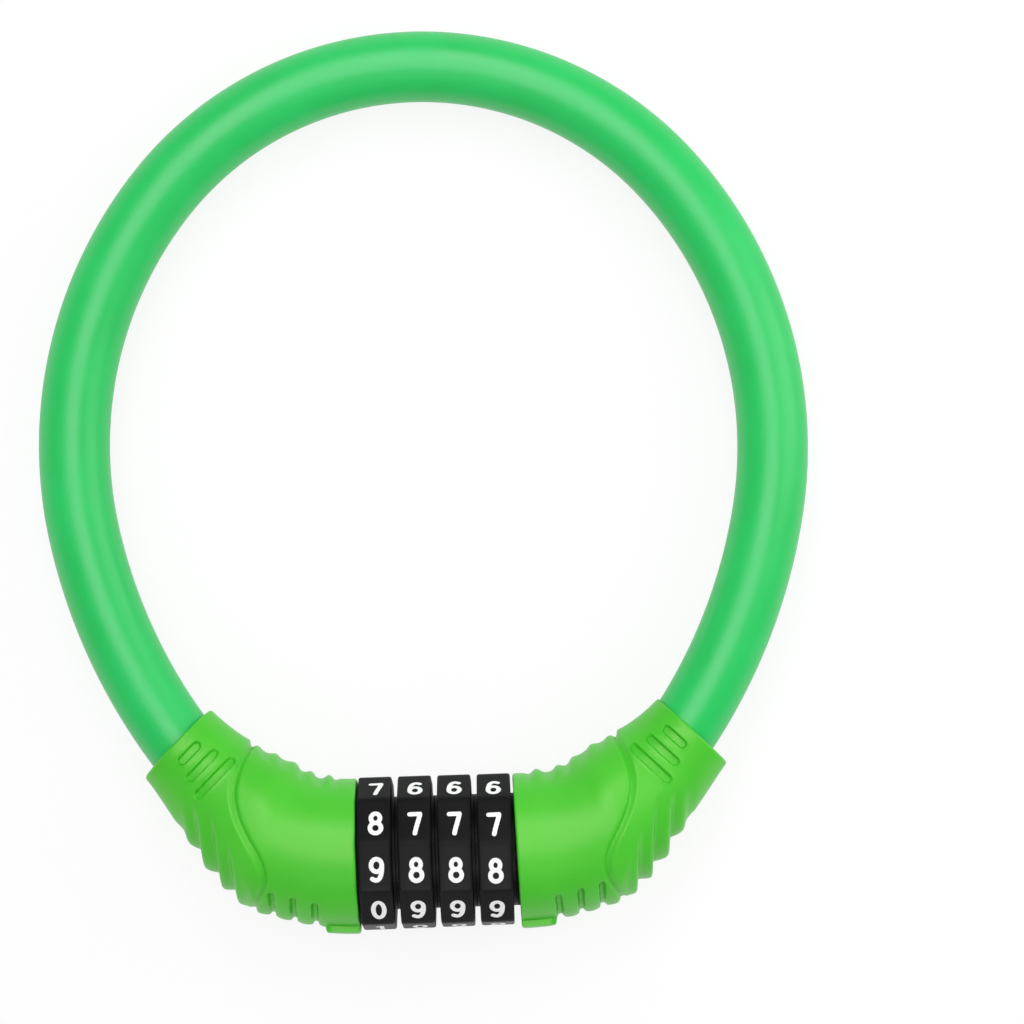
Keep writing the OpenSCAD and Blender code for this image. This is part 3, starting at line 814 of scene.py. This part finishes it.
# Strokes of the digits in millimetres from each one's centre, before DIGIT_SCALE
SIX = [
    bow(0, -0.8, 1.0, 1.1, 0, 360),
    curve((-1.0, -0.8), (-1.0, 1.2), (-0.35, 2.35), (0.85, 1.55)),
]
STROKES = {
    0: [bow(0, 0, 1.02, 1.9, 0, 360, 44)],
    1: [[(-0.6, 1.2), (0.15, 1.9), (0.15, -1.9)]],
    2: [bow(0, 0.85, 1.0, 1.05, 165, -30) + [(-1.0, -1.9), (1.05, -1.9)]],
    3: [bow(-0.05, 0.95, 0.9, 0.95, 150, -90) + bow(-0.05, -0.9, 1.05, 1.0, 90, -150)],
    4: [[(0.45, -1.9), (0.45, 1.9), (-1.1, -0.8), (1.1, -0.8)]],
    5: [[(0.9, 1.9), (-0.75, 1.9), (-0.85, 0.2)] + bow(-0.02, -0.75, 1.05, 1.15, 130, -150)],
    6: SIX,
    7: [
        curve((-1.0, 1.75), (-0.2, 1.75), (0.5, 1.75), (0.92, 1.78), 8)
        + curve((0.92, 1.78), (1.0, 1.5), (0.2, -0.6), (-0.05, -1.9))
    ],
    8: [bow(0, 0.98, 0.84, 0.9, 0, 360), bow(0, -0.88, 1.03, 1.0, 0, 360)],
    9: [[(-x, -y) for x, y in stroke] for stroke in SIX],
}
DIGIT_SCALE = (0.885, 0.95)
STROKE_HALF = 0.38
# The print's height over a flat, its depth in it, and the width of its sloping edge
DIGIT_RISE = 0.03
DIGIT_SINK = 0.05
DIGIT_EDGE = 0.16
# The grid that a digit is cut from: its cell, and its half width and half height
DIGIT_CELL = 0.1
DIGIT_ROOM = (1.75, 2.65)


def digit_field(digit, x, y):
    """Distance inside (positive) or outside the strokes of a digit."""
    best = np.full(x.shape, FAR)
    for stroke in STROKES[digit]:
        line = [(u * DIGIT_SCALE[0], v * DIGIT_SCALE[1]) for u, v in stroke]
        best = np.minimum(best, line_distance(x, y, line)[0])
    return STROKE_HALF - best


def digit_sheet(digit):
    """The digit's upper skin as points (x, y, z) and triangles, cut along its outline."""
    xs, ys = (np.arange(-room, room + DIGIT_CELL / 2, DIGIT_CELL) for room in DIGIT_ROOM)
    f = digit_field(digit, *np.meshgrid(xs, ys, indexing="ij"))
    points, index, triangles = [], {}, []
    # a cut keeps this share of an edge clear at both ends, against slivers
    share = 0.03

    def vertex(key, x, y, inside):
        if key not in index:
            index[key] = len(points)
            points.append((x, y, DIGIT_RISE * float(smooth(inside / DIGIT_EDGE))))
        return index[key]

    def clip(corners):
        out = []
        for k in range(3):
            (i, j), (m, n) = corners[k], corners[(k + 1) % 3]
            u, v = f[i, j], f[m, n]
            if u > 0:
                out.append(vertex((i, j), xs[i], ys[j], u))
            if (u > 0) != (v > 0):
                w = min(max(u / (u - v), share), 1 - share)
                key = ((i, j), (m, n)) if (i, j) < (m, n) else ((m, n), (i, j))
                out.append(vertex(key, mix(xs[i], xs[m], w), mix(ys[j], ys[n], w), 0.0))
        for k in range(1, len(out) - 1):
            triangles.append((out[0], out[k], out[k + 1]))

    for i in range(len(xs) - 1):
        for j in range(len(ys) - 1):
            if f[i : i + 2, j : j + 2].max() > 0:
                clip([(i, j), (i + 1, j), (i + 1, j + 1)])
                clip([(i, j), (i + 1, j + 1), (i, j + 1)])
    return np.array(points), triangles


def closed_sheet(points, triangles):
    """The sheet with a floor under it and a wall round its rim."""
    count = len(points)
    floor = points.copy()
    floor[:, 2] = -DIGIT_SINK
    edges = dict.fromkeys((tri[k], tri[(k + 1) % 3]) for tri in triangles for k in range(3))
    walls = [(b, a, a + count, b + count) for a, b in edges if (b, a) not in edges]
    under = [(c + count, b + count, a + count) for a, b, c in triangles]
    return np.concatenate([points, floor]), list(triangles) + walls + under


DIGIT_SHEETS = {d: closed_sheet(*digit_sheet(d)) for d in range(DIGITS)}
# The digit on each dial's flat 0, and how far the dial's digits sit off centre: to the right
# and up, in millimetres
FIRST_DIGIT = {1: 7, 2: 6, 3: 6, 4: 6}
PRINT_SHIFT = {1: (0.3, -0.5), 2: (0.2, -0.6), 3: (0.1, -0.55), 4: (0.0, -0.75)}


def make_digits(number):
    right = np.array([1, 0, 0])
    shift = PRINT_SHIFT[number]
    verts, faces = [], []
    for k in range(DIGITS):
        angle = math.radians(flat_angle(number, k))
        out = np.array([0, math.cos(angle), math.sin(angle)])
        up = np.array([0, math.sin(angle), -math.cos(angle)])
        points, polygons = DIGIT_SHEETS[(FIRST_DIGIT[number] + k) % DIGITS]
        placed = (
            (points[:, :1] + shift[0] + dial_x(number)) * right
            + (points[:, 1:2] + shift[1]) * up
            + (points[:, 2:] + FLAT_R) * out
        )
        first = len(verts)
        verts += on_table(placed).tolist()
        faces += [tuple(i + first for i in polygon) for polygon in polygons]
    piece = add_piece(f"dial_{number}_digits", verts, faces, digit_mat, sharp=60)
    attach(piece, f"dial_{number}")


dials = [make_dial(number) for number in DIALS]
for number in DIALS:
    make_digits(number)


COLLAR_R = 9.4
COLLAR_FROM = 13.2
COLLAR_TO = 14.6
COLLAR_SIDES = 360
# The collar's edges are broken by this much at its face to the dials and at its far face
COLLAR_BEVEL = (0.08, 0.2)
BARREL_R = 5.0
GATE_R = 6.35
GATE_HALF = 1.3


def make_collar():
    """The fixed end collar, close beside the last dial, with the gate for the pin's lugs."""
    q = 2 * np.pi * np.arange(COLLAR_SIDES) / COLLAR_SIDES
    upward, sideways = np.sin(q), np.maximum(np.abs(np.cos(q)), 1e-3)
    gate = np.minimum(GATE_R / np.maximum(upward, 0.1), GATE_HALF / sideways)
    bore = np.maximum(BARREL_R, np.where(upward > 0.1, gate, 0))
    near, far = COLLAR_BEVEL
    rings = [
        (COLLAR_FROM, bore), (COLLAR_FROM, COLLAR_R - near), (COLLAR_FROM + 0.03, COLLAR_R),
        (COLLAR_TO - far, COLLAR_R), (COLLAR_TO, COLLAR_R - far), (COLLAR_TO, bore),
    ]
    faces = ring_faces(len(rings), len(q), closed=True)
    piece = add_piece("end_collar_moulded", turned(rings, q), faces, collar_mat, sharp=30)
    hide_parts("end_collar")
    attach(piece, "lock_body")


make_collar()


# ---------------------------------------------------------------------------------------
# Finishes of the metal parts inside
# ---------------------------------------------------------------------------------------
def finish_node(node, mat):
    """Give a CAD node that shows as it is its material."""
    piece = frame["nodes"][node]
    if not piece.material_slots:
        piece.data.materials.append(mat)
    for place in piece.material_slots:
        place.material = mat


for node in ("body_block", "plug_block"):
    finish_node(node, zinc_mat)
for node in (
    "lock_barrel", "barrel_end_plug", "barrel_pin", "body_ferrule", "body_ferrule_pin",
    "locking_pin", "locking_pin_rivet", "plug_ferrule", "plug_ferrule_pin",
):
    finish_node(node, plated_mat)
for node in ("pin_spring", "detent_spring"):
    finish_node(node, spring_mat)
for number in DIALS:
    finish_node(f"code_ring_{number}", brass_mat)


# ---------------------------------------------------------------------------------------
# Floor, world and lamps
# ---------------------------------------------------------------------------------------
def seen_directly(tree):
    """1 for rays that show the background itself: camera, mirror and glass rays."""
    path = tree.nodes.new("ShaderNodeLightPath")
    either = combine(tree, "MAXIMUM", path.outputs["Is Camera Ray"], path.outputs["Is Glossy Ray"])
    return combine(tree, "MAXIMUM", either, path.outputs["Is Transmission Ray"])


FLOOR_HALF = 6.0
FLOOR_WHITE = (0.93, 0.93, 0.93, 1)
PLAIN_WHITE = (1, 1, 1, 1)
# How much of the floor is plain white to the eye; the rest is lit and takes the shadow
PLAIN_SHARE = 0.86


def make_floor():
    corners = [(-1, -1), (1, -1), (1, 1), (-1, 1)]
    verts = [(x * FLOOR_HALF, y * FLOOR_HALF, 0) for x, y in corners]
    mat = bpy.data.materials.new("floor_white")
    tree, out = emptied(mat, "ShaderNodeOutputMaterial")
    matt = tree.nodes.new("ShaderNodeBsdfDiffuse")
    matt.inputs["Color"].default_value = FLOOR_WHITE
    plain = tree.nodes.new("ShaderNodeEmission")
    plain.inputs["Color"].default_value = PLAIN_WHITE
    blend = tree.nodes.new("ShaderNodeMixShader")
    share = combine(tree, "MULTIPLY", seen_directly(tree), PLAIN_SHARE)
    tree.links.new(share, blend.inputs["Fac"])
    tree.links.new(matt.outputs["BSDF"], blend.inputs[1])
    tree.links.new(plain.outputs["Emission"], blend.inputs[2])
    tree.links.new(blend.outputs["Shader"], out.inputs["Surface"])
    floor = add_piece("floor", verts, [(0, 1, 2, 3)], mat)


def make_world(overhead, horizon):
    """A plain white room, brighter toward its walls than overhead."""
    world = bpy.data.worlds.new("studio")
    bpy.context.scene.world = world
    tree, out = emptied(world, "ShaderNodeOutputWorld")
    back = tree.nodes.new("ShaderNodeBackground")
    back.inputs["Color"].default_value = PLAIN_WHITE
    toward = tree.nodes.new("ShaderNodeTexCoord").outputs["Generated"]
    split = tree.nodes.new("ShaderNodeSeparateXYZ")
    tree.links.new(toward, split.inputs["Vector"])
    strength = mapped(tree, split.outputs["Z"], horizon, overhead, 0.05, 0.5)
    tree.links.new(strength, back.inputs["Strength"])
    tree.links.new(back.outputs["Background"], out.inputs["Surface"])


def softbox(name, place, width, depth, radiance):
    """A lamp of an even brightness that faces the lock; its place and size in metres."""
    data = bpy.data.lights.new(name, "AREA")
    data.shape = "RECTANGLE"
    data.size = width
    data.size_y = depth
    data.energy = radiance * math.pi * width * depth
    lamp = bpy.data.objects.new(name, data)
    lamp.location = place
    lamp.rotation_euler = (-Vector(place)).to_track_quat("-Z", "Y").to_euler()
    lamp.visible_camera = False
    bpy.context.scene.collection.objects.link(lamp)
    return lamp


make_floor()
make_world(overhead=0.42, horizon=0.62)
IN_FRONT = (0.0, -0.62, 0.95)
softbox("lamp_top", (-0.06, 0.22, 1.05), 0.75, 0.85, radiance=2.7)
softbox("lamp_back", (0.0, 0.72, 0.85), 0.4, 0.4, radiance=4.0)
softbox("lamp_front", IN_FRONT, 0.5, 0.4, radiance=0.9)
softbox("lamp_right", (0.32, 0.08, 0.2), 0.2, 0.3, radiance=2.0)
# A lamp that reaches the dials alone and shows their facets
snoot = softbox("lamp_dials", IN_FRONT, 0.4, 0.34, radiance=17.0)
snoot.light_linking.receiver_collection = bpy.data.collections.new("lit_by_lamp_dials")
for dial in dials:
    snoot.light_linking.receiver_collection.objects.link(dial)
